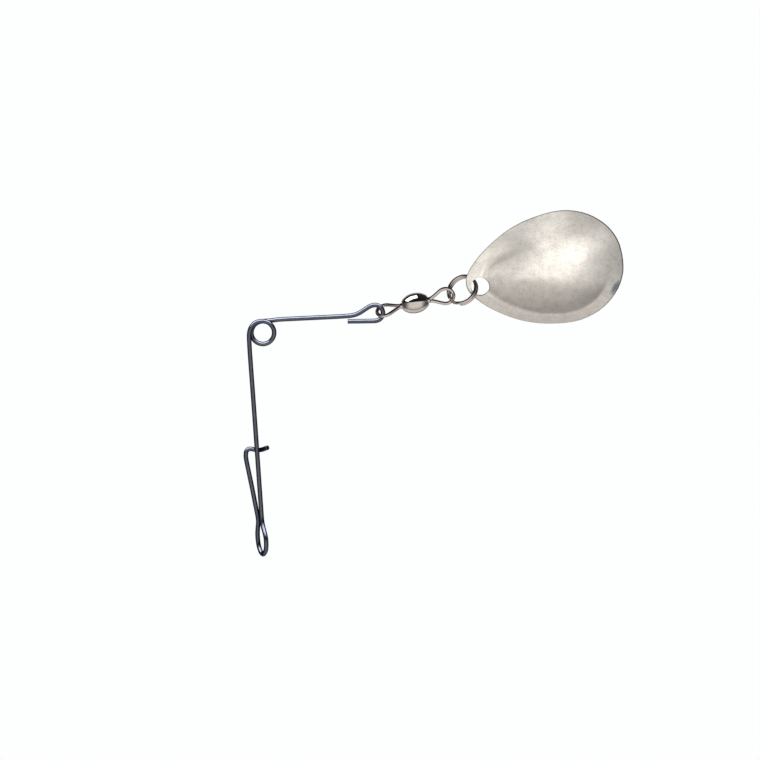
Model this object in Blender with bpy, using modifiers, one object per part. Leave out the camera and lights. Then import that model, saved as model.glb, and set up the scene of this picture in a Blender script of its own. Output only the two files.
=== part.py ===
"""Jig spinner arm with a barrel swivel, a split ring and a teardrop blade, lying flat on a table.

Metres, +Z up, floor at z = 0. The wire form lies in the XY plane: the clip shaft runs down in -Y,
the blade arm runs out in +X. The driving sizes below are in millimetres and become metres in mm().
"""
import math

import bmesh
import bpy
import numpy as np
from mathutils import Matrix, Vector

MM = 0.001

# wire form
WIRE_R = 0.33
BACK_Z = 0.335
FRONT_Z = 1.03
COIL_CENTRE = (-24.05, 7.13)
COIL_R = 1.62
HOOK_CENTRE = (-8.225, 9.91)
HOOK_R = 1.135
HOOK_Z = 1.13
LATCH_GAP = 0.20

# swivel
BARREL_CENTRE = (-2.58, 11.30, 1.44)
AXIS_PLAN_DEG = 11.7
AXIS_RISE_DEG = 4.0
BARREL_HALF = 1.85
BARREL_R = 1.425
HOLE_R = 0.47
SHANK_R = 0.41
HEAD_R = 0.74
EYE_WIRE_R = 0.25
EYE_LOOP_R = 1.15
EYE_LOOP_U = 4.40
EYE_LEG_V = 0.20
EYE_LEG_U = 2.05
WIRE_EYE_ROLL_DEG = -50.0
RING_EYE_ROLL_DEG = 24.0
WIRE_EYE_TILT_DEG = 3.0
RING_EYE_TILT_DEG = 2.0
TILT_U = 1.60

# split ring
RING_CENTRE = (4.07, 13.11, 2.45)
RING_NORMAL = (-0.424, 0.424, 0.80)
RING_R = 2.11
RING_WIRE_R = 0.215
RING_LAYER = 0.225
RING_JOG_DEG = -125.0
RING_JOG_HALF_DEG = 24.0

# blade
BLADE_T = 0.40
BLADE_TIP = (4.57, 13.93, 3.17)
BLADE_PLAN_DEG = 10.3
BLADE_PITCH_DEG = 6.0
BLADE_ROLL_DEG = 9.0
BLADE_DEPTH = 2.6
BLADE_GAUGE_S = 12.6
BLADE_HOLE = (1.90, -0.62)
BLADE_HOLE_R = 1.28
FLANGE_FROM = 0.80
FLANGE_RISE = 0.18
FLANGE_DEG = -125.0
BLADE_HALF_WIDTHS = [
    (0.0, 0.0), (0.12, 0.80), (0.45, 1.45), (0.90, 2.05), (1.55, 2.75), (2.25, 3.43),
    (3.1, 4.1), (4.4, 5.0), (6.1, 6.0), (7.8, 6.75), (9.5, 7.28), (11.2, 7.62), (12.8, 7.84),
    (14.1, 7.9), (15.4, 7.8), (16.7, 7.5), (17.9, 7.05), (18.8, 6.55), (19.6, 5.98),
    (20.4, 5.26), (21.0, 4.58), (21.5, 3.85), (22.0, 2.8), (22.3, 1.85), (22.45, 0.0),
]


def start():
    for obj in list(bpy.data.objects):
        bpy.data.objects.remove(obj, do_unlink=True)
    group = bpy.data.collections.new("jig_spinner_arm")
    bpy.context.scene.collection.children.link(group)
    return group


PARTS = start()


def mm(point):
    return tuple(MM * c for c in point)


def material(name, colour, metallic, roughness):
    mat = bpy.data.materials.new(name)
    mat.use_nodes = True
    shader = mat.node_tree.nodes["Principled BSDF"]
    shader.inputs["Base Color"].default_value = (*colour, 1.0)
    shader.inputs["Metallic"].default_value = metallic
    shader.inputs["Roughness"].default_value = roughness
    mat.diffuse_color = (*colour, 1.0)
    return mat


WIRE_FINISH = dict(colour=(0.16, 0.17, 0.21), metallic=1.0, roughness=0.30)
BRIGHT_FINISH = dict(colour=(0.62, 0.60, 0.57), metallic=1.0, roughness=0.16)
BLADE_FINISH = dict(colour=(0.70, 0.68, 0.62), metallic=1.0, roughness=0.34)


def add_mesh(name, mesh, origin, finish):
    """Links a mesh built in world millimetres as a node whose origin is at the given point."""
    mesh.transform(Matrix.Translation(-Vector(origin)))
    mesh.transform(Matrix.Scale(MM, 4))
    mesh.materials.clear()
    mesh.materials.append(material(name, **finish))
    obj = bpy.data.objects.new(name, mesh)
    obj.location = mm(origin)
    PARTS.objects.link(obj)
    return obj


def smooth_path(knots, step):
    """Centripetal-like Catmull-Rom through the knots, sampled at an even step."""
    knots = [Vector(k) for k in knots]
    ends = [2 * knots[0] - knots[1]] + knots + [2 * knots[-1] - knots[-2]]
    dense = []
    for i in range(1, len(ends) - 2):
        p0, p1, p2, p3 = ends[i - 1:i + 3]
        m1 = (p2 - p0) * ((p2 - p1).length / ((p1 - p0).length + (p2 - p1).length))
        m2 = (p3 - p1) * ((p2 - p1).length / ((p2 - p1).length + (p3 - p2).length))
        for k in range(24):
            t = k / 24
            h1 = 2 * t ** 3 - 3 * t ** 2 + 1
            h2 = t ** 3 - 2 * t ** 2 + t
            h3 = -2 * t ** 3 + 3 * t ** 2
            h4 = t ** 3 - t ** 2
            dense.append(h1 * p1 + h2 * m1 + h3 * p2 + h4 * m2)
    dense.append(knots[-1])
    lengths = [0.0]
    for a, b in zip(dense, dense[1:]):
        lengths.append(lengths[-1] + (b - a).length)
    count = max(2, round(lengths[-1] / step))
    marks = np.linspace(0, lengths[-1], count + 1)
    table = np.array([tuple(p) for p in dense])
    axes = [np.interp(marks, lengths, table[:, c]) for c in range(3)]
    return [Vector(p) for p in zip(*axes)]


def thin(points, max_turn_deg, max_step):
    """Drops points of an evenly sampled path where it runs nearly straight."""
    kept = [points[0]]
    for i in range(1, len(points) - 1):
        turn = (points[i] - kept[-1]).angle(points[i + 1] - points[i], 0.0)
        if math.degrees(turn) > max_turn_deg or (points[i + 1] - kept[-1]).length > max_step:
            kept.append(points[i])
    kept.append(points[-1])
    return kept


def evaluated_mesh(carrier):
    """The carrier's mesh with its modifiers applied; the carrier itself is removed."""
    bpy.context.view_layer.update()
    graph = bpy.context.evaluated_depsgraph_get()
    mesh = bpy.data.meshes.new_from_object(carrier.evaluated_get(graph))
    bpy.data.objects.remove(carrier)
    return mesh


def wire_mesh(name, points, radius):
    """A round wire of POLY spline bevel with flat cut ends, as a closed mesh in millimetres."""
    curve = bpy.data.curves.new(name + "_path", "CURVE")
    curve.dimensions = "3D"
    curve.bevel_depth = radius
    curve.bevel_resolution = 2
    curve.use_fill_caps = True
    spline = curve.splines.new("POLY")
    spline.points.add(len(points) - 1)
    for spot, point in zip(spline.points, points):
        spot.co = (*point, 1.0)
    carrier = bpy.data.objects.new(name + "_path", curve)
    PARTS.objects.link(carrier)
    mesh = evaluated_mesh(carrier)
    tidy = bmesh.new()
    tidy.from_mesh(mesh)
    bmesh.ops.remove_doubles(tidy, verts=tidy.verts, dist=0.0005)
    bmesh.ops.recalc_face_normals(tidy, faces=tidy.faces)
    tidy.to_mesh(mesh)
    tidy.free()
    return mesh


def on_circle(centre, radius, angle_deg, z):
    a = math.radians(angle_deg)
    return (centre[0] + radius * math.cos(a), centre[1] + radius * math.sin(a), z)


def shaft_path():
    """From the middle of the clip loop's end, up its right strand and the shaft, round the coil."""
    loop = [
        (-23.95, -24.10, 1.36), (-23.68, -23.75, 1.70), (-23.56, -23.1, 1.96),
        (-23.57, -22.15, 1.98), (-23.66, -21.5, 1.84), (-23.86, -20.75, 1.55),
        (-24.07, -19.95, 1.24), (-24.18, -19.2, 1.07),
    ]
    shaft = [
        (-24.27, -18.0, FRONT_Z), (-24.75, -11.16, FRONT_Z), (-25.23, -4.4, FRONT_Z),
        (-25.56, 0.11, FRONT_Z), (-25.84, 3.9, FRONT_Z), (-25.94, 5.6, FRONT_Z),
        (-25.96, 7.1, FRONT_Z), (-25.62, 8.05, FRONT_Z), (-24.95, 8.62, FRONT_Z),
    ]
    turn = []
    for angle in range(88, -193, -20):
        drop = min(max((45 - angle) / 185, 0.0), 1.0)
        drop = drop * drop * (3 - 2 * drop)
        turn.append(on_circle(COIL_CENTRE, COIL_R, angle, FRONT_Z + (BACK_Z - FRONT_Z) * drop))
    return loop + shaft + turn


def arm_path():
    """From the back of the coil, over its top, along the arm and round the hook to the cut end."""
    arc = [on_circle(COIL_CENTRE, COIL_R, a, BACK_Z) for a in range(155, 84, -10)]
    arm = [
        (-23.0, 8.83, BACK_Z), (-21.8, 8.98, BACK_Z), (-19.15, 9.12, BACK_Z),
        (-15.8, 9.28, 0.40), (-12.4, 9.46, 0.60), (-11.2, 9.61, 0.72), (-10.4, 9.93, 0.84),
        (-9.62, 10.43, 0.97), (-9.02, 10.82, 1.06),
    ]
    hook = [on_circle(HOOK_CENTRE, HOOK_R, a, HOOK_Z) for a in range(98, -91, -13)]
    lower = [(-8.7, 8.765, HOOK_Z), (-10.2, 8.74, 1.09), (-12.1, 8.72, 1.06)]
    return arc + arm + hook + lower


def latch_path():
    """From the clip loop's end, up its left strand and the latch arm, across under the shaft."""
    return [
        (-23.99, -24.13, 1.30), (-24.23, -23.95, 0.97), (-24.46, -23.45, 0.67),
        (-24.66, -22.7, 0.42), (-24.76, -21.9, 0.345), (-24.80, -21.2, BACK_Z),
        (-24.74, -20.2, BACK_Z), (-24.68, -19.4, BACK_Z), (-24.78, -18.7, BACK_Z),
        (-25.12, -17.0, BACK_Z), (-25.55, -14.82, BACK_Z), (-26.02, -12.57, 0.36),
        (-26.42, -10.6, 0.38), (-26.46, -9.95, 0.38), (-26.36, -9.5, 0.37),
        (-26.1, -9.24, BACK_Z), (-25.6, -9.27, BACK_Z), (-24.86, -9.42, BACK_Z),
        (-24.4, -9.42, 0.37), (-24.05, -9.32, 0.56), (-23.68, -9.18, 0.92),
        (-23.35, -9.06, 1.28),
    ]


# Opening direction of the latch: its end leaves the shaft downwards and to the left.
LOOP_END = Vector((-23.97, -24.115, 1.33))
LATCH_AXIS = Vector((-0.86, 0.0, 0.51)).normalized()


def swivel_axis():
    plan = math.radians(AXIS_PLAN_DEG)
    rise = math.radians(AXIS_RISE_DEG)
    return Vector((math.cos(rise) * math.cos(plan), math.cos(rise) * math.sin(plan), math.sin(rise)))


SWIVEL = swivel_axis()


def eye_frame(outward, roll_deg, tilt_deg=0.0):
    """Barrel-centred frame of an eye: local X outwards along the swivel, local Y across the loop.

    The shank is a loose fit, so the eye may sit tilted in plan about the middle of its hole.
    """
    level = Vector((0, 0, 1)).cross(SWIVEL).normalized()
    rise = SWIVEL.cross(level)
    roll = math.radians(roll_deg)
    across = math.cos(roll) * level + math.sin(roll) * rise
    u = SWIVEL * outward
    w = u.cross(across)
    frame = Matrix.Translation(BARREL_CENTRE) @ Matrix((u, across, w)).transposed().to_4x4()
    pivot = frame @ Vector((TILT_U, 0, 0))
    lean = Matrix.Rotation(math.radians(tilt_deg), 4, "Z")
    return Matrix.Translation(pivot) @ lean @ Matrix.Translation(-pivot) @ frame


def eye_loop():
    """Teardrop centre line: two legs leave the shank side by side and run tangent to the round end."""
    far = Vector((EYE_LOOP_U - EYE_LEG_U, 0 - EYE_LEG_V))
    lean = math.atan2(EYE_LEG_V, far[0])
    touch = math.acos(EYE_LOOP_R / far.length)
    first = math.degrees(math.pi - touch - lean)
    points = [(EYE_LEG_U - 0.35, EYE_LEG_V, 0), (EYE_LEG_U, EYE_LEG_V, 0)]
    for k in range(21):
        a = math.radians(first - k * 2 * first / 20)
        points.append((EYE_LOOP_U + EYE_LOOP_R * math.cos(a), EYE_LOOP_R * math.sin(a), 0))
    points += [(EYE_LEG_U, -EYE_LEG_V, 0), (EYE_LEG_U - 0.35, -EYE_LEG_V, 0)]
    return [Vector(p) for p in points]


def turned(name, profile, steps, closed):
    """A (along, radius) profile turned about local X by a Screw modifier, as a closed mesh.

    An open profile starts and ends on the axis; a closed one makes a hollow solid.
    """
    mesh = bpy.data.meshes.new(name + "_profile")
    count = len(profile)
    edges = [(i, i + 1) for i in range(count - 1)]
    if closed:
        edges.append((count - 1, 0))
    mesh.from_pydata([(r, 0, x) for x, r in profile], edges, [])
    carrier = bpy.data.objects.new(name + "_profile", mesh)
    PARTS.objects.link(carrier)
    screw = carrier.modifiers.new("turn", "SCREW")
    screw.axis = "Z"
    screw.steps = steps
    screw.render_steps = steps
    screw.use_merge_vertices = True
    screw.merge_threshold = 0.0001
    screw.use_normal_calculate = True
    solid = evaluated_mesh(carrier)
    tidy = bmesh.new()
    tidy.from_mesh(solid)
    bmesh.ops.recalc_face_normals(tidy, faces=tidy.faces)
    tidy.to_mesh(solid)
    tidy.free()
    solid.transform(Matrix.Rotation(math.pi / 2, 4, "Y"))
    return solid


def boolean(base, other, operation):
    """EXACT Boolean of two closed meshes."""
    first = bpy.data.objects.new("boolean_base", base)
    second = bpy.data.objects.new("boolean_other", other)
    PARTS.objects.link(first)
    PARTS.objects.link(second)
    modifier = first.modifiers.new("boolean", "BOOLEAN")
    modifier.operation = operation
    modifier.solver = "EXACT"
    modifier.object = second
    mesh = evaluated_mesh(first)
    bpy.data.objects.remove(second)
    return mesh


def swivel_eye(name, outward, roll_deg, tilt_deg, origin):
    loop = wire_mesh(name, eye_loop(), EYE_WIRE_R)
    shank = turned(name + "_shank", [
        (2.24, 0.0), (2.24, SHANK_R - 0.14), (2.12, SHANK_R), (1.27, SHANK_R), (1.27, HEAD_R - 0.05),
        (1.22, HEAD_R), (1.02, HEAD_R), (0.97, HEAD_R - 0.06), (0.92, 0.30), (0.92, 0.0),
    ], 24, False)
    mesh = boolean(shank, loop, "UNION")
    mesh.transform(eye_frame(outward, roll_deg, tilt_deg))
    return add_mesh(name, mesh, origin, BRIGHT_FINISH)


def swivel_barrel():
    outer = []
    for k in range(13):
        t = -1 + k / 6
        outer.append((t * BARREL_HALF * 0.93, 0.80 + (BARREL_R - 0.80) * (1 - abs(t) ** 2.3)))
    outer = [(-BARREL_HALF, HOLE_R), (-BARREL_HALF, 0.66)] + outer
    outer += [(BARREL_HALF, 0.66), (BARREL_HALF, HOLE_R)]
    inner = [(1.34, HOLE_R), (1.34, 0.82), (0.8, 1.0), (0.0, 1.06), (-0.8, 1.0), (-1.34, 0.82),
             (-1.34, HOLE_R)]
    mesh = turned("swivel_barrel", list(reversed(outer + inner)), 40, True)
    mesh.transform(eye_frame(1, 0))
    return add_mesh("swivel_barrel", mesh, BARREL_CENTRE, BRIGHT_FINISH)


def ring_frame():
    normal = Vector(RING_NORMAL).normalized()
    across = (Vector((1, 0, 0)) - normal[0] * normal).normalized()
    up = normal.cross(across)
    return Matrix.Translation(RING_CENTRE) @ Matrix((across, up, normal)).transposed().to_4x4()


def ring_path():
    """Nearly two full turns in two layers, joined by one short jog opposite which nothing lies."""
    first = RING_JOG_DEG - 360 + RING_JOG_HALF_DEG
    last = RING_JOG_DEG + 360 - RING_JOG_HALF_DEG
    points = []
    for angle in np.arange(first, last + 0.01, (last - first) / 96):
        t = (angle - RING_JOG_DEG) / RING_JOG_HALF_DEG
        t = min(max(t, -1.0), 1.0)
        lift = RING_LAYER * (1.5 * t - 0.5 * t ** 3)
        a = math.radians(angle)
        points.append(Vector((RING_R * math.cos(a), RING_R * math.sin(a), lift)))
    return points


def ring_point(angle_deg):
    a = math.radians(angle_deg)
    return ring_frame() @ Vector((RING_R * math.cos(a), RING_R * math.sin(a), 0))


def half_width(s):
    table = np.array(BLADE_HALF_WIDTHS)
    return float(np.interp(s, table[:, 0], table[:, 1]))


def outline():
    """Closed blade outline in blade millimetres, anticlockwise from the tip."""
    table = [Vector((s, -w, 0)) for s, w in BLADE_HALF_WIDTHS]
    table += [Vector((s, w, 0)) for s, w in reversed(BLADE_HALF_WIDTHS[1:-1])]
    ring = table[-3:] + table + table[:3]
    path = smooth_path(ring, 0.1)
    start_at = min(range(len(path) // 3), key=lambda i: (path[i] - table[0]).length)
    end_at = max(range(2 * len(path) // 3, len(path)), key=lambda i: -(path[i] - table[0]).length)
    return path[start_at:end_at]


OUTLINE = outline()


def gauge_table():
    centre = Vector((BLADE_GAUGE_S, 0, 0))
    rows = []
    for p in OUTLINE:
        d = p - centre
        rows.append((math.atan2(d[1], d[0]), d.length))
    return sorted(rows)


GAUGE = np.array(gauge_table())


def dome(s, y):
    """Height of the sheet's middle above the rim plane: a dome inside a flange that fades out at the far top."""
    dx, dy = s - BLADE_GAUGE_S, y
    around = math.atan2(dy, dx)
    reach = np.interp(around, GAUGE[:, 0], GAUGE[:, 1], period=2 * math.pi)
    r = min(math.hypot(dx, dy) / reach, 1.0)
    if r > FLANGE_FROM:
        flanged = BLADE_DEPTH * FLANGE_RISE * (1 - r) / (1 - FLANGE_FROM)
    else:
        flanged = BLADE_DEPTH * (FLANGE_RISE + (1 - FLANGE_RISE) * (1 - (r / FLANGE_FROM) ** 2))
    share = (0.35 + 0.5 * math.cos(around - math.radians(FLANGE_DEG))) / 0.6
    share = min(max(share, 0.0), 1.0)
    share = share * share * (3 - 2 * share)
    plain = BLADE_DEPTH * (1 - r * r)
    return plain + (flanged - plain) * share


def blade_frame():
    turn = Matrix.Rotation(math.radians(BLADE_PLAN_DEG), 4, "Z")
    pitch = Matrix.Rotation(math.radians(BLADE_PITCH_DEG), 4, "Y")
    roll = Matrix.Rotation(math.radians(BLADE_ROLL_DEG), 4, "X")
    return Matrix.Translation(BLADE_TIP) @ turn @ pitch @ roll


def blade(origin):
    """A domed polar grid inside the outline, thickened to sheet, with the ring's hole punched."""
    fan = 64
    rings = 14
    shape = bmesh.new()
    bmesh.ops.create_grid(shape, x_segments=rings, y_segments=fan, size=0.5)
    for vert in shape.verts:
        t = vert.co.x + 0.5
        angle = 2 * math.pi * (vert.co.y + 0.5) - math.pi
        reach = np.interp(angle, GAUGE[:, 0], GAUGE[:, 1], period=2 * math.pi)
        s = BLADE_GAUGE_S + reach * t * math.cos(angle)
        y = reach * t * math.sin(angle)
        vert.co = (s, y, dome(s, y))
    bmesh.ops.remove_doubles(shape, verts=shape.verts, dist=0.001)
    bmesh.ops.recalc_face_normals(shape, faces=shape.faces)
    surface = bpy.data.meshes.new("blade")
    shape.to_mesh(surface)
    shape.free()
    carrier = bpy.data.objects.new("blade_surface", surface)
    PARTS.objects.link(carrier)
    sheet = carrier.modifiers.new("sheet", "SOLIDIFY")
    sheet.thickness = BLADE_T
    sheet.offset = 0.0
    solid = evaluated_mesh(carrier)
    punch = bmesh.new()
    at = Matrix.Translation((*BLADE_HOLE, 1.0))
    bmesh.ops.create_cone(punch, cap_ends=True, segments=40, radius1=BLADE_HOLE_R,
                          radius2=BLADE_HOLE_R, depth=4.0, matrix=at)
    tool = bpy.data.meshes.new("blade_hole")
    punch.to_mesh(tool)
    punch.free()
    mesh = boolean(solid, tool, "DIFFERENCE")
    mesh.transform(blade_frame())
    return add_mesh("blade", mesh, origin, BLADE_FINISH)


# the bent wire, in its three springy lengths
shaft_points = thin(smooth_path(shaft_path(), 0.12), 5.0, 3.5)
add_mesh("wire_shaft", wire_mesh("wire_shaft", shaft_points, WIRE_R), (0, 0, 0), WIRE_FINISH)
arm_points = thin(smooth_path(arm_path(), 0.12), 5.0, 3.5)
add_mesh("blade_arm", wire_mesh("blade_arm", arm_points, WIRE_R), (*COIL_CENTRE, BACK_Z), WIRE_FINISH)
latch_points = smooth_path(latch_path(), 0.12)
while (latch_points[0] - Vector(shaft_path()[0])).length < LATCH_GAP:
    latch_points.pop(0)
latch_points = thin(latch_points, 5.0, 3.5)
add_mesh("clip_latch", wire_mesh("clip_latch", latch_points, WIRE_R), LOOP_END, WIRE_FINISH)

# the barrel swivel
swivel_eye("swivel_eye_wire", -1, WIRE_EYE_ROLL_DEG, WIRE_EYE_TILT_DEG, (*HOOK_CENTRE, HOOK_Z))
swivel_barrel()
swivel_eye("swivel_eye_ring", 1, RING_EYE_ROLL_DEG, RING_EYE_TILT_DEG, BARREL_CENTRE)

# the split ring, hung on the far end of the outer eye
ring_eye = eye_frame(1, RING_EYE_ROLL_DEG, RING_EYE_TILT_DEG)
ring_hinge = ring_eye @ Vector((EYE_LOOP_U + EYE_LOOP_R, 0, 0))
ring_mesh = wire_mesh("split_ring", ring_path(), RING_WIRE_R)
ring_mesh.transform(ring_frame())
add_mesh("split_ring", ring_mesh, ring_hinge, BRIGHT_FINISH)

# the blade, hung on the ring
blade(ring_point(3.0))
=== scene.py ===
"""Look of the jig spinner arm: fine wire, swivel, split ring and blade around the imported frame.

Design sizes are millimetres and degrees; finish_mesh turns the shapes into metres.
"""
import math

import bmesh
import bpy
import numpy as np
from mathutils import Matrix, Vector


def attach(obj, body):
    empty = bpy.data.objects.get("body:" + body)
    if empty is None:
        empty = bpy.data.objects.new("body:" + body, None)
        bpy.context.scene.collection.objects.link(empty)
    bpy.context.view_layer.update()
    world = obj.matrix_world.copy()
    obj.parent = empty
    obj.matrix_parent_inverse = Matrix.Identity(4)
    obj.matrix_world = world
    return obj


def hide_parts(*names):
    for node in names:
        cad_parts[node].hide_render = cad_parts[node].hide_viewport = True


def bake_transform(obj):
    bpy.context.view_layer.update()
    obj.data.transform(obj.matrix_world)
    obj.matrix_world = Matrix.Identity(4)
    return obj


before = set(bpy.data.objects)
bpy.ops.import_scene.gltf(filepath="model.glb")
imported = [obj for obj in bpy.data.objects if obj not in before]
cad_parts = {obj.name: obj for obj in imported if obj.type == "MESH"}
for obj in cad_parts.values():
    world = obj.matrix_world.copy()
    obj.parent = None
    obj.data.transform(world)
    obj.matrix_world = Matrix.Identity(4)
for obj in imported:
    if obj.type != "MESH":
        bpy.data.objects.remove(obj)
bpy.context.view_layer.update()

MM = 0.001
FLOOR_Z = -0.012    # metres, below the latch and the blade at the ends of their swing

# ---------------------------------------------------------------- design sizes, millimetres
WIRE_R = 0.33
BACK_Z = 0.335      # the coil's lower layer, which lies on the table
FRONT_Z = 1.03      # the upright and the coil's upper layer
COIL_CENTRE = (-24.05, 7.13)
COIL_R = 1.62
COIL_DROP_FROM_DEG = 45
COIL_DROP_DEG = 185
HOOK_CENTRE = (-8.225, 9.91)
HOOK_R = 1.135
HOOK_Z = 1.13
LOOP_END = (-23.95, -24.10, 1.36)

BARREL_CENTRE = (-2.58, 11.30, 1.44)
AXIS_PLAN_DEG = 11.7
AXIS_RISE_DEG = 4.0
BARREL_HALF = 1.85
BARREL_R = 1.425
HOLE_R = 0.47
SHANK_R = 0.41
MOUTH_R = 0.80       # the barrel's radius where its ends turn in
EYE_WIRE_R = 0.25
EYE_LOOP_R = 1.15
EYE_LOOP_U = 4.40
EYE_LEG_V = 0.20
EYE_LEG_U = 2.35
EYE_LEG_HIDDEN = 0.45
WIRE_EYE_ROLL_DEG = -50.0
RING_EYE_ROLL_DEG = 24.0
WIRE_EYE_TILT_DEG = 3.0
RING_EYE_TILT_DEG = 2.0
TILT_U = 1.60

RING_CENTRE = (4.07, 13.11, 2.45)
RING_NORMAL = (-0.424, 0.424, 0.80)
RING_R = 2.11
RING_WIRE_R = 0.215
RING_LAYER = 0.225
RING_JOG_DEG = -125.0
RING_JOG_HALF_DEG = 24.0

BLADE_T = 0.40
BLADE_TIP = (4.57, 13.93, 3.17)
BLADE_PLAN_DEG = 10.3
BLADE_PITCH_DEG = 6.0
BLADE_ROLL_DEG = 9.0
BLADE_DEPTH = 2.6
BLADE_GAUGE_S = 12.6
BLADE_HOLE = (1.90, -0.62)
BLADE_HOLE_R = 1.28
FLANGE_FROM = 0.80
FLANGE_RISE = 0.18
FLANGE_DEG = -125.0
CREASE = 0.06
CREASE_TOP = 0.34
CREASE_SOFT_FROM = 1.8
CREASE_SOFT_OVER = 2.2
RIM_ROW = 0.19       # width of the last row of faces
# Painted reflection: a dark bluish patch on the blade's colour where the curved sheet mirrors dark
# surroundings.
PAINTED_REFLECTION_AT = (20.75, -4.15, 0.0)
PAINTED_REFLECTION_TURN_DEG = 48.0
PAINTED_REFLECTION_HALF = (1.15, 0.50, 1.0)
BLADE_OUTLINE_ROUNDS = 60
BLADE_HALF_WIDTHS = [
    (0.0, 0.0), (0.12, 0.80), (0.45, 1.45), (0.90, 2.05), (1.55, 2.75), (2.25, 3.43),
    (3.1, 4.1), (4.4, 5.0), (6.1, 6.0), (7.8, 6.75), (9.5, 7.28), (11.2, 7.62), (12.8, 7.84),
    (14.1, 7.9), (15.4, 7.8), (16.7, 7.5), (17.9, 7.05), (18.8, 6.55), (19.6, 5.98),
    (20.4, 5.26), (21.0, 4.58), (21.5, 3.85), (22.0, 2.8), (22.3, 1.85), (22.45, 0.0),
]

# ---------------------------------------------------------------- light and camera sizes
BLADE_MID = (15.0, 16.0, 4.4)
WIRE_MID = (-20.0, 0.0, 1.0)
CAMERA_CENTRE = (-7.535, 0.458, 0.0)
CAMERA_DISTANCE = 1.2          # metres
FOCUS_HEIGHT = 0.0015          # metres, where the scale holds
PHOTO_PIXELS = 760
PIXELS_PER_MM = 7.1
SENSOR_WIDTH = 36.0


# ---------------------------------------------------------------- small helpers
def ramp01(value):
    """Smooth step from 0 to 1, flat outside."""
    value = np.clip(value, 0.0, 1.0)
    return value * value * (3 - 2 * value)


def run_lengths(path):
    """Length along the path at each of its points."""
    return np.concatenate([[0.0], np.cumsum(np.linalg.norm(np.diff(path, axis=0), axis=1))])


def points_at(path, marks):
    """Points at the given lengths along the path."""
    lengths = run_lengths(path)
    return np.stack([np.interp(marks, lengths, path[:, c]) for c in range(3)], axis=1)


# ---------------------------------------------------------------- paths
SPANS_PER_KNOT = 24


def smooth_path(knots, step):
    """Curve through the knots, then points at an even step along it."""
    knots = [Vector(k) for k in knots]
    ends = [2 * knots[0] - knots[1]] + knots + [2 * knots[-1] - knots[-2]]
    dense = []
    for i in range(1, len(ends) - 2):
        p0, p1, p2, p3 = ends[i - 1:i + 3]
        m1 = (p2 - p0) * ((p2 - p1).length / ((p1 - p0).length + (p2 - p1).length))
        m2 = (p3 - p1) * ((p2 - p1).length / ((p2 - p1).length + (p3 - p2).length))
        for k in range(SPANS_PER_KNOT):
            t = k / SPANS_PER_KNOT
            h1 = 2 * t ** 3 - 3 * t ** 2 + 1
            h2 = t ** 3 - 2 * t ** 2 + t
            h3 = -2 * t ** 3 + 3 * t ** 2
            h4 = t ** 3 - t ** 2
            dense.append(h1 * p1 + h2 * m1 + h3 * p2 + h4 * m2)
    dense.append(knots[-1])
    table = np.array([tuple(p) for p in dense])
    total = run_lengths(table)[-1]
    count = max(2, round(total / step))
    return points_at(table, np.linspace(0, total, count + 1))


def relaxed(path, rounds):
    """Evens out the small changes of curvature between knots, ends held."""
    path = path.copy()
    for _ in range(rounds):
        path[1:-1] = 0.5 * path[1:-1] + 0.25 * (path[:-2] + path[2:])
    return path


def on_circle(centre, radius, angle_deg, z):
    a = math.radians(angle_deg)
    return (centre[0] + radius * math.cos(a), centre[1] + radius * math.sin(a), z)


def shaft_path():
    """Foot of the clip loop, upright and the coil's first turn."""
    loop = [
        LOOP_END, (-23.68, -23.75, 1.70), (-23.56, -23.1, 1.96),
        (-23.57, -22.15, 1.98), (-23.66, -21.5, 1.84), (-23.86, -20.75, 1.55),
        (-24.07, -19.95, 1.24), (-24.18, -19.2, 1.07),
    ]
    shaft = [
        (-24.27, -18.0, FRONT_Z), (-24.75, -11.16, FRONT_Z), (-25.23, -4.4, FRONT_Z),
        (-25.56, 0.11, FRONT_Z), (-25.84, 3.9, FRONT_Z), (-25.94, 5.6, FRONT_Z),
        (-25.96, 7.1, FRONT_Z), (-25.62, 8.05, FRONT_Z), (-24.95, 8.62, FRONT_Z),
    ]
    turn = []
    for angle in list(range(88, -173, -10)) + [-180]:
        drop = ramp01((COIL_DROP_FROM_DEG - angle) / COIL_DROP_DEG)
        turn.append(on_circle(COIL_CENTRE, COIL_R, angle, FRONT_Z + (BACK_Z - FRONT_Z) * drop))
    return loop + shaft + turn


def arm_path():
    """Last quarter of the coil, the arm and its open hook."""
    arc = [on_circle(COIL_CENTRE, COIL_R, a, BACK_Z) for a in range(180, 84, -8)]
    arm = [
        (-23.0, 8.83, BACK_Z), (-21.8, 8.98, BACK_Z), (-19.15, 9.12, BACK_Z),
        (-15.8, 9.28, 0.40), (-12.4, 9.46, 0.60), (-11.2, 9.61, 0.72), (-10.4, 9.93, 0.84),
        (-9.62, 10.43, 0.97), (-9.02, 10.82, 1.06),
    ]
    hook = [on_circle(HOOK_CENTRE, HOOK_R, a, HOOK_Z) for a in range(98, -91, -13)]
    lower = [(-8.7, 8.765, HOOK_Z), (-10.2, 8.74, 1.09), (-12.1, 8.72, 1.06)]
    return arc + arm + hook + lower


def latch_path():
    """Other side of the clip loop, the latch and its catch over the upright."""
    return [
        LOOP_END, (-24.05, -24.10, 1.24), (-24.23, -23.95, 0.97),
        (-24.46, -23.45, 0.67), (-24.66, -22.7, 0.42), (-24.76, -21.9, 0.345),
        (-24.80, -21.2, BACK_Z), (-24.74, -20.2, BACK_Z), (-24.68, -19.4, BACK_Z),
        (-24.78, -18.7, BACK_Z), (-25.12, -17.0, BACK_Z), (-25.55, -14.82, BACK_Z),
        (-26.02, -12.57, 0.36), (-26.42, -10.6, 0.38), (-26.46, -9.95, 0.38),
        (-26.36, -9.5, 0.37), (-26.1, -9.24, BACK_Z), (-25.6, -9.27, BACK_Z),
        (-24.86, -9.42, BACK_Z), (-24.4, -9.42, 0.37), (-24.05, -9.32, 0.56),
        (-23.68, -9.18, 0.92), (-23.35, -9.06, 1.28),
    ]


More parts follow.
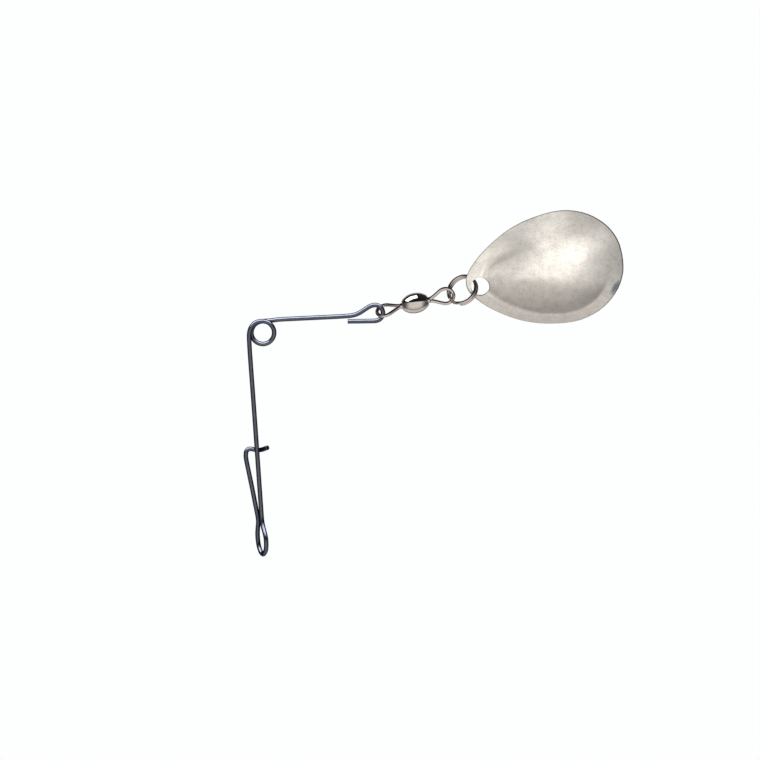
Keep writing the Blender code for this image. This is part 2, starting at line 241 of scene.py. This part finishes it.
def swivel_axis():
    plan = math.radians(AXIS_PLAN_DEG)
    rise = math.radians(AXIS_RISE_DEG)
    level = math.cos(rise)
    return Vector((level * math.cos(plan), level * math.sin(plan), math.sin(rise)))


SWIVEL = swivel_axis()


def eye_frame(outward, roll_deg, tilt_deg=0.0):
    """Frame at the barrel's centre with X outward along the swivel and Y across the eye."""
    level = Vector((0, 0, 1)).cross(SWIVEL).normalized()
    rise = SWIVEL.cross(level)
    roll = math.radians(roll_deg)
    across = math.cos(roll) * level + math.sin(roll) * rise
    u = SWIVEL * outward
    w = u.cross(across)
    place = Matrix.Translation(BARREL_CENTRE) @ Matrix((u, across, w)).transposed().to_4x4()
    pivot = place @ Vector((TILT_U, 0, 0))
    lean = Matrix.Rotation(math.radians(tilt_deg), 4, "Z")
    return Matrix.Translation(pivot) @ lean @ Matrix.Translation(-pivot) @ place


def ring_frame():
    normal = Vector(RING_NORMAL).normalized()
    across = (Vector((1, 0, 0)) - normal[0] * normal).normalized()
    up = normal.cross(across)
    return Matrix.Translation(RING_CENTRE) @ Matrix((across, up, normal)).transposed().to_4x4()


def blade_frame():
    turn = Matrix.Rotation(math.radians(BLADE_PLAN_DEG), 4, "Z")
    pitch = Matrix.Rotation(math.radians(BLADE_PITCH_DEG), 4, "Y")
    roll = Matrix.Rotation(math.radians(BLADE_ROLL_DEG), 4, "X")
    return Matrix.Translation(BLADE_TIP) @ turn @ pitch @ roll


# ---------------------------------------------------------------- mesh builders
END_ROWS = 4
CAP_UV_GAP = 3.0


def finish_mesh(name, shape, place=None):
    """Links a bmesh built in millimetres as a smooth object in metres."""
    bmesh.ops.recalc_face_normals(shape, faces=shape.faces)
    mesh = bpy.data.meshes.new(name)
    shape.to_mesh(mesh)
    shape.free()
    if place is not None:
        mesh.transform(place)
    mesh.transform(Matrix.Scale(MM, 4))
    for face in mesh.polygons:
        face.use_smooth = True
    obj = bpy.data.objects.new(name, mesh)
    bpy.context.collection.objects.link(obj)
    return obj


def with_end_rows(path, reach, caps):
    """Adds rows near the ends, so that an end can be rounded over the reach."""
    lengths = run_lengths(path)
    step = reach / END_ROWS
    extra = []
    if caps[0]:
        extra += [k * step for k in range(1, END_ROWS + 1)]
    if caps[1]:
        extra += [lengths[-1] - k * step for k in range(1, END_ROWS + 1)]
    return points_at(path, np.unique(np.round(np.concatenate([lengths, extra]), 5)))


def sweep(shape, path, radius, sides, round_end=0.0, caps=(True, True)):
    """Sweeps a round section along the path; UV is turns round the wire against length in mm."""
    path = np.asarray(path, float)
    if round_end > 0:
        path = with_end_rows(path, round_end, caps)
    tangents = np.gradient(path, axis=0)
    tangents /= np.linalg.norm(tangents, axis=1)[:, None]
    seed = np.array([0.0, 0.0, 1.0])
    if abs(tangents[0] @ seed) > 0.9:
        seed = np.array([0.0, 1.0, 0.0])
    normal = seed - (seed @ tangents[0]) * tangents[0]
    normal /= np.linalg.norm(normal)
    lengths = run_lengths(path)
    uv_layer = shape.loops.layers.uv.verify()
    rings = []
    for i in range(len(path)):
        if i:
            normal = normal - (normal @ tangents[i]) * tangents[i]
            normal /= np.linalg.norm(normal)
        side = np.cross(tangents[i], normal)
        r = radius
        if round_end > 0:
            for near, capped in ((lengths[i], caps[0]), (lengths[-1] - lengths[i], caps[1])):
                if capped and near < round_end:
                    k = 1 - near / round_end
                    r = radius - round_end * (1 - math.sqrt(max(0.0, 1 - k * k)))
        ring = []
        for j in range(sides):
            a = 2 * math.pi * j / sides
            ring.append(shape.verts.new(path[i] + r * (math.cos(a) * normal + math.sin(a) * side)))
        rings.append(ring)
    for i in range(len(path) - 1):
        here, there = rings[i], rings[i + 1]
        v0, v1 = lengths[i], lengths[i + 1]
        for j in range(sides):
            n = (j + 1) % sides
            face = shape.faces.new((here[j], here[n], there[n], there[j]))
            corners = ((j, v0), (j + 1, v0), (j + 1, v1), (j, v1))
            for loop, (a, v) in zip(face.loops, corners):
                loop[uv_layer].uv = (a / sides, v)
    cap_uv = (0.5, lengths[-1] + CAP_UV_GAP)
    for ring, capped, centre in ((rings[0], caps[0], path[0]), (rings[-1], caps[1], path[-1])):
        if capped:
            hub = shape.verts.new(centre)
            for j in range(sides):
                face = shape.faces.new((ring[j], ring[(j + 1) % sides], hub))
                for loop in face.loops:
                    loop[uv_layer].uv = cap_uv


def turn_profile(shape, profile, steps):
    """Turns (along, radius) points about local X; UV is turns against length of profile."""
    uv_layer = shape.loops.layers.uv.verify()
    runs = [0.0]
    for (x0, r0), (x1, r1) in zip(profile, profile[1:]):
        runs.append(runs[-1] + math.hypot(x1 - x0, r1 - r0))
    rings = []
    for k in range(steps):
        a = 2 * math.pi * k / steps
        rings.append([shape.verts.new((x, r * math.cos(a), r * math.sin(a))) for x, r in profile])
    for k in range(steps):
        here, there = rings[k], rings[(k + 1) % steps]
        for i in range(len(profile) - 1):
            face = shape.faces.new((here[i], here[i + 1], there[i + 1], there[i]))
            corners = ((k, runs[i]), (k, runs[i + 1]), (k + 1, runs[i + 1]), (k + 1, runs[i]))
            for loop, (turn, run) in zip(face.loops, corners):
                loop[uv_layer].uv = (turn / steps, run)


# ---------------------------------------------------------------- materials
PER_METRE = (1000.0, 1000.0, 1000.0)    # scales object coordinates to millimetres
MIX_FACTOR, MIX_A, MIX_B, MIX_COLOUR = 0, 6, 7, 2    # sockets of the colour mix node


class Nodes:
    """Short-hand for a node tree."""

    def __init__(self, tree):
        self.tree = tree

    def node(self, kind, **values):
        made = self.tree.nodes.new(kind)
        for key, value in values.items():
            setattr(made, key, value)
        return made

    def link(self, source, target):
        self.tree.links.new(source, target)

    def ramp(self, source, low, high, start=0.0, end=1.0, kind="LINEAR"):
        """Maps start..end of a value onto low..high."""
        node = self.node("ShaderNodeMapRange", interpolation_type=kind)
        node.inputs["From Min"].default_value = start
        node.inputs["From Max"].default_value = end
        node.inputs["To Min"].default_value = low
        node.inputs["To Max"].default_value = high
        self.link(source, node.inputs["Value"])
        return node.outputs["Result"]

    def colours(self, source, stops):
        """Colour ramp with (place, colour) stops."""
        node = self.node("ShaderNodeValToRGB")
        ramp = node.color_ramp
        while len(ramp.elements) < len(stops):
            ramp.elements.new(0.5)
        for element, (where, colour) in zip(ramp.elements, stops):
            element.position = where
            element.color = (*colour, 1.0)
        self.link(source, node.inputs["Fac"])
        return node.outputs["Color"]

    def mixed(self, factor, a, b):
        """Colour mix; b is a socket or a fixed colour."""
        node = self.node("ShaderNodeMix", data_type="RGBA")
        self.link(factor, node.inputs[MIX_FACTOR])
        self.link(a, node.inputs[MIX_A])
        if isinstance(b, tuple):
            node.inputs[MIX_B].default_value = (*b, 1.0)
        else:
            self.link(b, node.inputs[MIX_B])
        return node.outputs[MIX_COLOUR]


class Graph(Nodes):
    """Node tree of a new metal material."""

    def __init__(self, name):
        self.mat = bpy.data.materials.new(name)
        self.mat.use_nodes = True
        super().__init__(self.mat.node_tree)
        self.shader = self.tree.nodes["Principled BSDF"]
        self.shader.inputs["Metallic"].default_value = 1.0

    def coordinates(self, output, scale):
        texture = self.node("ShaderNodeTexCoord")
        mapping = self.node("ShaderNodeMapping")
        mapping.inputs["Scale"].default_value = scale
        self.link(texture.outputs[output], mapping.inputs["Vector"])
        return mapping.outputs["Vector"]

    def noise(self, vector, scale, detail, roughness):
        node = self.node("ShaderNodeTexNoise")
        node.inputs["Scale"].default_value = scale
        node.inputs["Detail"].default_value = detail
        node.inputs["Roughness"].default_value = roughness
        self.link(vector, node.inputs["Vector"])
        return node.outputs["Fac"]

    def add(self, a, b):
        node = self.node("ShaderNodeMath", operation="ADD")
        self.link(a, node.inputs[0])
        self.link(b, node.inputs[1])
        return node.outputs[0]

    def times(self, a, share):
        node = self.node("ShaderNodeMath", operation="MULTIPLY")
        self.link(a, node.inputs[0])
        node.inputs[1].default_value = share
        return node.outputs[0]

    def bump(self, height, strength, distance):
        node = self.node("ShaderNodeBump")
        node.inputs["Strength"].default_value = strength
        node.inputs["Distance"].default_value = distance
        self.link(height, node.inputs["Height"])
        self.link(node.outputs["Normal"], self.shader.inputs["Normal"])


def wire_material():
    """Black nickel with faint drawing lines along the wire."""
    g = Graph("black_nickel_wire")
    along = g.coordinates("UV", (3.0, 0.22, 1.0))
    place = g.coordinates("Object", PER_METRE)
    drawn = g.noise(along, 4.0, 3.0, 0.55)
    cloud = g.noise(place, 0.8, 3.0, 0.6)
    tone = g.add(g.times(drawn, 0.45), g.times(cloud, 0.55))
    colour = g.colours(tone, [(0.34, (0.098, 0.109, 0.146)), (0.52, (0.120, 0.133, 0.174)),
                              (0.68, (0.146, 0.160, 0.203))])
    g.link(colour, g.shader.inputs["Base Color"])
    g.link(g.ramp(tone, 0.17, 0.25, 0.35, 0.65), g.shader.inputs["Roughness"])
    g.shader.inputs["Specular Tint"].default_value = (0.10, 0.11, 0.15, 1.0)
    g.bump(drawn, 0.04, 0.00002)
    return g.mat


def bright_material(name, base):
    """Bright nickel plate, a little uneven."""
    g = Graph(name)
    along = g.coordinates("UV", (7.0, 1.0, 1.0))
    place = g.coordinates("Object", PER_METRE)
    fine = g.noise(along, 5.0, 4.0, 0.6)
    cloud = g.noise(place, 2.2, 3.0, 0.55)
    tint = g.colours(cloud, [(0.30, tuple(0.86 * c for c in base)), (0.62, base)])
    g.link(tint, g.shader.inputs["Base Color"])
    g.link(g.ramp(fine, 0.05, 0.13, 0.3, 0.75), g.shader.inputs["Roughness"])
    g.shader.inputs["Specular Tint"].default_value = (0.45, 0.44, 0.45, 1.0)
    g.bump(fine, 0.03, 0.00001)
    return g.mat


def blade_material():
    """Satin nickel with grain, fine scratches and one painted reflection: a dark bluish patch near
    the edge.
    """
    g = Graph("satin_nickel_blade")
    place = g.coordinates("Object", PER_METRE)
    brush = g.coordinates("UV", (0.45, 6.0, 1.0))
    cloud = g.noise(place, 0.9, 3.0, 0.6)
    grain = g.noise(place, 4.2, 3.0, 0.8)
    scratch = g.noise(brush, 1.6, 4.0, 0.75)
    tone = g.add(g.times(cloud, 0.30), g.times(grain, 0.45))
    tone = g.add(tone, g.times(scratch, 0.25))
    colour = g.colours(tone, [(0.40, (0.50, 0.487, 0.46)), (0.50, (0.615, 0.600, 0.570)),
                              (0.60, (0.70, 0.685, 0.655))])
    # Painted reflection: a ragged dark bluish patch near the lower right end stands in for the
    # dark surroundings mirrored there.
    painted_reflection_place = g.node("ShaderNodeMapping", vector_type="TEXTURE")
    painted_reflection_place.inputs["Location"].default_value = PAINTED_REFLECTION_AT
    painted_reflection_place.inputs["Rotation"].default_value = (0, 0, math.radians(PAINTED_REFLECTION_TURN_DEG))
    painted_reflection_place.inputs["Scale"].default_value = PAINTED_REFLECTION_HALF
    g.link(g.node("ShaderNodeTexCoord").outputs["UV"], painted_reflection_place.inputs["Vector"])
    spread = g.node("ShaderNodeVectorMath", operation="LENGTH")
    g.link(painted_reflection_place.outputs["Vector"], spread.inputs[0])
    ragged = g.add(spread.outputs["Value"], g.times(grain, 0.8))
    painted_reflection_mask = g.ramp(ragged, 0.85, 0.0, 0.85, 1.6)
    g.link(g.mixed(painted_reflection_mask, colour, (0.14, 0.18, 0.225)), g.shader.inputs["Base Color"])
    g.link(g.ramp(tone, 0.35, 0.26, 0.38, 0.62), g.shader.inputs["Roughness"])
    relief = g.add(g.times(grain, 0.6), g.times(scratch, 0.6))
    g.bump(relief, 0.16, 0.00003)
    return g.mat


def painted_dark_edge_material():
    """Sheared edge, dark as bare metal and darkened further as a painted dark reflection; used on
    the rim of the sheet.
    """
    g = Graph("sheared_edge_painted_dark")
    place = g.coordinates("Object", PER_METRE)
    burr = g.noise(place, 4.0, 4.0, 0.7)
    # Near-black rim colour: partly the bare cut edge, partly painted reflection of dark
    # surroundings in the edge.
    colour = g.colours(burr, [(0.35, (0.030, 0.030, 0.032)), (0.65, (0.085, 0.083, 0.082))])
    g.link(colour, g.shader.inputs["Base Color"])
    g.link(g.ramp(burr, 0.22, 0.34, 0.3, 0.7), g.shader.inputs["Roughness"])
    g.bump(burr, 0.25, 0.00002)
    return g.mat


WIRE = wire_material()
BRIGHT = bright_material("bright_nickel", (0.74, 0.69, 0.665))
BARREL = bright_material("bright_nickel_barrel", (0.76, 0.73, 0.69))
BLADE = blade_material()
PAINTED_DARK_EDGE = painted_dark_edge_material()


def dress(obj, material):
    obj.data.materials.append(material)


# ---------------------------------------------------------------- wire form
WIRE_STEP = 0.10
WIRE_ROUNDS = 12
WIRE_SIDES = 32
WIRE_END_ROUND = 0.05


def wire_piece(name, knots, caps):
    shape = bmesh.new()
    path = relaxed(smooth_path(knots, WIRE_STEP), WIRE_ROUNDS)
    sweep(shape, path, WIRE_R, WIRE_SIDES, round_end=WIRE_END_ROUND, caps=caps)
    return finish_mesh(name, shape)


shaft = wire_piece("shaft_and_coil", shaft_path(), (False, False))
dress(shaft, WIRE)
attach(shaft, "wire_shaft")
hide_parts("wire_shaft")

arm = wire_piece("arm_and_hook", arm_path(), (False, True))
dress(arm, WIRE)
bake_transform(arm)
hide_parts("blade_arm")

latch = wire_piece("latch_and_catch", latch_path(), (False, True))
dress(latch, WIRE)
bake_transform(latch)
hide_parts("clip_latch")


# ---------------------------------------------------------------- swivel
EYE_STEP = 0.05
EYE_ROUNDS = 14
FINE_SIDES = 28
SHANK_STEPS = 48
BARREL_STEPS = 96
BARREL_BULGE_POWER = 2.3
CAVITY_HALF = 1.34


def eye_loop():
    """Knots of one swivel eye: a leg, the round loop and the other leg."""
    far = EYE_LOOP_U - EYE_LEG_U
    reach = math.hypot(far, EYE_LEG_V)
    lean = math.atan2(EYE_LEG_V, far)
    touch = math.acos(EYE_LOOP_R / reach)
    first = math.degrees(math.pi - touch - lean)
    points = [(EYE_LEG_U - EYE_LEG_HIDDEN, EYE_LEG_V, 0), (EYE_LEG_U, EYE_LEG_V, 0)]
    for k in range(25):
        a = math.radians(first - k * 2 * first / 24)
        points.append((EYE_LOOP_U + EYE_LOOP_R * math.cos(a), EYE_LOOP_R * math.sin(a), 0))
    points += [(EYE_LEG_U, -EYE_LEG_V, 0), (EYE_LEG_U - EYE_LEG_HIDDEN, -EYE_LEG_V, 0)]
    return points


HEAD_AND_SHANK = [
    (0.92, 0.02), (0.92, 0.62), (0.97, 0.70), (1.02, 0.74), (1.22, 0.74), (1.27, 0.69),
    (1.27, SHANK_R), (1.95, SHANK_R), (2.10, SHANK_R - 0.01), (2.18, SHANK_R - 0.06),
    (2.23, SHANK_R - 0.14), (2.24, 0.02),
]


def swivel_eye(name, outward, roll_deg, tilt_deg, body, node):
    shape = bmesh.new()
    path = relaxed(smooth_path(eye_loop(), EYE_STEP), EYE_ROUNDS)
    sweep(shape, path, EYE_WIRE_R, FINE_SIDES)
    turn_profile(shape, HEAD_AND_SHANK, SHANK_STEPS)
    eye = finish_mesh(name, shape, eye_frame(outward, roll_deg, tilt_deg))
    dress(eye, BRIGHT)
    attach(eye, body)
    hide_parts(node)


swivel_eye("eye_on_wire", -1, WIRE_EYE_ROLL_DEG, WIRE_EYE_TILT_DEG, "wire_eye", "swivel_eye_wire")
swivel_eye("eye_on_ring", 1, RING_EYE_ROLL_DEG, RING_EYE_TILT_DEG, "ring_eye", "swivel_eye_ring")


def barrel_profile():
    """Outer shell from end to end, then the cavity back to the start."""
    points = [(-BARREL_HALF + 0.02, HOLE_R), (-BARREL_HALF, HOLE_R + 0.03), (-BARREL_HALF, 0.60),
              (-BARREL_HALF + 0.03, 0.655), (-BARREL_HALF + 0.07, 0.70)]
    for k in range(41):
        t = -1 + k / 20
        swell = (BARREL_R - MOUTH_R) * (1 - abs(t) ** BARREL_BULGE_POWER)
        points.append((t * BARREL_HALF * 0.93, MOUTH_R + swell))
    points += [(BARREL_HALF - 0.07, 0.70), (BARREL_HALF - 0.03, 0.655), (BARREL_HALF, 0.60),
               (BARREL_HALF, HOLE_R + 0.03), (BARREL_HALF - 0.02, HOLE_R)]
    points += [(CAVITY_HALF, HOLE_R), (CAVITY_HALF, 0.82), (0.8, 1.0), (0.0, 1.06), (-0.8, 1.0),
               (-CAVITY_HALF, 0.82), (-CAVITY_HALF, HOLE_R), (-BARREL_HALF + 0.02, HOLE_R)]
    return points


barrel_shape = bmesh.new()
turn_profile(barrel_shape, barrel_profile(), BARREL_STEPS)
bmesh.ops.remove_doubles(barrel_shape, verts=barrel_shape.verts, dist=0.0001)
barrel = finish_mesh("barrel_shell", barrel_shape, eye_frame(1, 0))
dress(barrel, BARREL)
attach(barrel, "barrel")
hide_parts("swivel_barrel")


# ---------------------------------------------------------------- split ring
RING_POINTS = 321
RING_END_ROUND = 0.03


def ring_path():
    """Almost two turns: one layer below, a jog, one layer above."""
    first = RING_JOG_DEG - 360 + RING_JOG_HALF_DEG
    last = RING_JOG_DEG + 360 - RING_JOG_HALF_DEG
    points = []
    for angle in np.linspace(first, last, RING_POINTS):
        t = min(max((angle - RING_JOG_DEG) / RING_JOG_HALF_DEG, -1.0), 1.0)
        lift = RING_LAYER * (1.5 * t - 0.5 * t ** 3)
        a = math.radians(angle)
        points.append((RING_R * math.cos(a), RING_R * math.sin(a), lift))
    return points


ring_shape = bmesh.new()
sweep(ring_shape, ring_path(), RING_WIRE_R, FINE_SIDES, round_end=RING_END_ROUND)
ring = finish_mesh("split_ring_coil", ring_shape, ring_frame())
dress(ring, BRIGHT)
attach(ring, "ring")
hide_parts("split_ring")


# ---------------------------------------------------------------- blade
FAN = 288          # lines out from the hole, closest together towards the tip
FAN_LEAN = 0.75
ROWS = 84
ROW_POWER = 1.1


def outline():
    """Closed outline of the blade, evened out and sampled at a small step."""
    table = [(s, -w, 0) for s, w in BLADE_HALF_WIDTHS]
    table += [(s, w, 0) for s, w in reversed(BLADE_HALF_WIDTHS[1:-1])]
    ring = table[-3:] + table + table[:3]
    path = smooth_path(ring, 0.05)
    tip = np.array(table[0])
    gaps = np.linalg.norm(path - tip, axis=1)
    third = len(path) // 3
    first = int(np.argmin(gaps[:third]))
    last = 2 * third + int(np.argmin(gaps[2 * third:]))
    loop = path[first:last]
    for _ in range(BLADE_OUTLINE_ROUNDS):
        loop = 0.5 * loop + 0.25 * (np.roll(loop, 1, axis=0) + np.roll(loop, -1, axis=0))
    return loop


OUTLINE = outline()


def polar(centre):
    """Outline as radius against angle about the centre."""
    d = OUTLINE[:, :2] - np.array(centre)
    angles = np.arctan2(d[:, 1], d[:, 0])
    order = np.argsort(angles)
    return angles[order], np.hypot(d[:, 0], d[:, 1])[order]


GAUGE_A, GAUGE_R = polar((BLADE_GAUGE_S, 0.0))


def dome(s, y):
    """Height of the sheet: a dome inside a flange that fades out at the far top."""
    dx, dy = s - BLADE_GAUGE_S, y
    around = np.arctan2(dy, dx)
    reach = np.interp(around, GAUGE_A, GAUGE_R, period=2 * math.pi)
    r = np.minimum(np.hypot(dx, dy) / reach, 1.0)
    flange = BLADE_DEPTH * FLANGE_RISE * (1 - r) / (1 - FLANGE_FROM)
    crown = BLADE_DEPTH * (FLANGE_RISE + (1 - FLANGE_RISE) * (1 - (r / FLANGE_FROM) ** 2))
    crease = CREASE + (CREASE_TOP - CREASE) * ramp01((dy - CREASE_SOFT_FROM) / CREASE_SOFT_OVER)
    bend = ramp01((r - FLANGE_FROM + crease) / (crease + np.minimum(crease, 1 - FLANGE_FROM)))
    share = ramp01((0.35 + 0.5 * np.cos(around - math.radians(FLANGE_DEG))) / 0.6)
    plain = BLADE_DEPTH * (1 - r * r)
    return plain + (crown * (1 - bend) + flange * bend - plain) * share


def blade_mesh():
    """Fan of rows from the hole to the outline; UV is the blade's own plan in mm."""
    hole_a, hole_r = polar(BLADE_HOLE)
    shape = bmesh.new()
    uv_layer = shape.loops.layers.uv.verify()
    grid = []
    for k in range(FAN):
        a = 2 * math.pi * k / FAN
        a = a + FAN_LEAN * math.sin(a)
        edge = np.interp(math.remainder(a, 2 * math.pi), hole_a, hole_r, period=2 * math.pi)
        t = (np.arange(ROWS) / (ROWS - 1)) ** ROW_POWER
        d = np.append(BLADE_HOLE_R + (edge - RIM_ROW - BLADE_HOLE_R) * t, edge)
        s = BLADE_HOLE[0] + d * math.cos(a)
        y = BLADE_HOLE[1] + d * math.sin(a)
        grid.append([shape.verts.new(p) for p in zip(s, y, dome(s, y))])
    for k in range(FAN):
        n = (k + 1) % FAN
        for i in range(ROWS):
            face = shape.faces.new((grid[k][i], grid[k][i + 1], grid[n][i + 1], grid[n][i]))
            for loop in face.loops:
                loop[uv_layer].uv = (loop.vert.co.x, loop.vert.co.y)
    return shape


blade = finish_mesh("blade_sheet", blade_mesh(), blade_frame())
sheet = blade.modifiers.new("sheet", "SOLIDIFY")
sheet.thickness = BLADE_T * MM
sheet.offset = 0.0
sheet.use_even_offset = True
dress(blade, BLADE)
# The solidify rim gets the near-black edge material: a bare cut edge plus painted dark reflection
# along the outline.
blade.data.materials.append(PAINTED_DARK_EDGE)
sheet.material_offset_rim = 1
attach(blade, "blade")
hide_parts("blade")


# ---------------------------------------------------------------- floor, light, camera
def table_material():
    """Flat pale light, the same from every side."""
    mat = bpy.data.materials.new("pale_table")
    mat.use_nodes = True
    tree = mat.node_tree
    tree.nodes.clear()
    out = tree.nodes.new("ShaderNodeOutputMaterial")
    glow = tree.nodes.new("ShaderNodeEmission")
    glow.inputs["Color"].default_value = (0.985, 1.0, 0.992, 1.0)
    glow.inputs["Strength"].default_value = 1.0
    tree.links.new(glow.outputs["Emission"], out.inputs["Surface"])
    return mat


def floor():
    """Table top that the camera sees and nothing reflects or shades."""
    bpy.ops.mesh.primitive_plane_add(size=4.0, location=(0, 0, FLOOR_Z))
    plane = bpy.context.object
    plane.name = "table_top"
    plane.data.materials.append(table_material())
    plane.visible_glossy = False
    plane.visible_diffuse = False
    plane.visible_shadow = False


def studio():
    """World light: pale room in front and overhead, dark behind and at the sides."""
    world = bpy.data.worlds.new("studio")
    bpy.context.scene.world = world
    world.use_nodes = True
    world.node_tree.nodes.clear()
    w = Nodes(world.node_tree)
    out = w.node("ShaderNodeOutputWorld")
    back = w.node("ShaderNodeBackground")
    w.link(back.outputs["Background"], out.inputs["Surface"])
    split = w.node("ShaderNodeSeparateXYZ")
    w.link(w.node("ShaderNodeTexCoord").outputs["Generated"], split.inputs["Vector"])
    x, y, z = split.outputs
    height = w.ramp(z, 0.0, 1.0, -1.0, 1.0)
    sideways = w.node("ShaderNodeMath", operation="ABSOLUTE")
    w.link(x, sideways.inputs[0])
    at_side = w.ramp(sideways.outputs[0], 0.0, 1.0, 0.50, 0.95, "SMOOTHSTEP")
    at_rear = w.ramp(y, 0.0, 1.0, 0.13, 0.24, "SMOOTHSTEP")
    front = w.colours(height, [
        (0.00, (0.13, 0.13, 0.14)), (0.11, (0.20, 0.19, 0.19)), (0.15, (0.75, 0.71, 0.67)),
        (0.50, (0.70, 0.66, 0.62)), (0.54, (0.36, 0.34, 0.33)), (0.61, (0.36, 0.34, 0.33)),
        (0.67, (0.62, 0.59, 0.56)), (0.88, (0.84, 0.80, 0.76)), (1.00, (0.82, 0.785, 0.75)),
    ])
    rear = w.colours(height, [
        (0.00, (0.66, 0.63, 0.67)), (0.16, (0.60, 0.57, 0.61)), (0.21, (0.030, 0.028, 0.030)),
        (1.00, (0.012, 0.012, 0.014)),
    ])
    side = w.colours(height, [
        (0.00, (0.30, 0.30, 0.32)), (0.30, (0.06, 0.06, 0.065)), (0.60, (0.08, 0.08, 0.09)),
        (0.90, (0.30, 0.30, 0.31)),
    ])
    w.link(w.mixed(at_rear, w.mixed(at_side, front, side), rear), back.inputs["Color"])
    world.cycles.sampling_method = "MANUAL"
    world.cycles.sample_map_resolution = 1024


def soft_box(name, centre, reach, azimuth, level, across, tall, colour, radiance, lit):
    """Area light seen from centre at azimuth (from +Y towards +X) and level, sizes in degrees."""
    az, el = math.radians(azimuth), math.radians(level)
    way = Vector((math.sin(az) * math.cos(el), math.cos(az) * math.cos(el), math.sin(el)))
    data = bpy.data.lights.new(name, "AREA")
    data.shape = "RECTANGLE"
    data.size = 2 * reach * math.tan(math.radians(across / 2))
    data.size_y = 2 * reach * math.tan(math.radians(tall / 2))
    data.color = colour
    data.energy = radiance * math.pi * data.size * data.size_y
    data.normalize = True
    box = bpy.data.objects.new(name, data)
    box.location = Vector(centre) * MM + way * reach
    box.rotation_euler = (-way).to_track_quat("-Z", "Y").to_euler()
    box.visible_camera = False
    bpy.context.collection.objects.link(box)
    reached = bpy.data.collections.new(name + "_reach")
    for piece in lit:
        reached.objects.link(piece)
    box.light_linking.receiver_collection = reached


def camera():
    """Long lens straight above, at the photograph's scale."""
    frame_width = PHOTO_PIXELS / PIXELS_PER_MM * MM
    data = bpy.data.cameras.new("camera")
    data.sensor_width = SENSOR_WIDTH
    data.lens = SENSOR_WIDTH * (CAMERA_DISTANCE - FOCUS_HEIGHT) / frame_width
    data.clip_start = 0.05
    data.clip_end = 20.0
    cam = bpy.data.objects.new("camera", data)
    cam.location = Vector(CAMERA_CENTRE) * MM + Vector((0, 0, CAMERA_DISTANCE))
    cam.rotation_euler = (0, 0, 0)
    bpy.context.collection.objects.link(cam)
    bpy.context.scene.camera = cam


COOL = (0.97, 0.98, 1.0)
NEUTRAL = (0.98, 0.98, 1.0)
WARM = (1.0, 0.97, 0.925)
GLOW = (1.0, 0.97, 0.93)

# name, centre, reach in m, azimuth, level, width and height in degrees, colour, radiance, pieces
SOFT_BOXES = [
    ("barrel_window", BARREL_CENTRE, 0.4, -31, 18, 60, 40, COOL, 3.4, [barrel]),
    ("wire_window", WIRE_MID, 0.4, -8, 30, 84, 48, NEUTRAL, 6.6, [shaft, arm, latch]),
    ("blade_rear_left", BLADE_MID, 0.4, -45, 45, 92, 64, WARM, 0.62, [blade]),
    ("blade_rear_right", BLADE_MID, 0.4, 35, 45, 70, 64, WARM, 0.70, [blade]),
    ("blade_side", BLADE_MID, 0.4, 100, 28, 60, 44, WARM, 0.45, [blade]),
    ("blade_glow", BLADE_MID, 0.3, 100, 74, 55, 48, GLOW, 0.92, [blade]),
]

floor()
studio()
camera()
for row in SOFT_BOXES:
    soft_box(*row)

bpy.context.scene.view_settings.view_transform = "Standard"
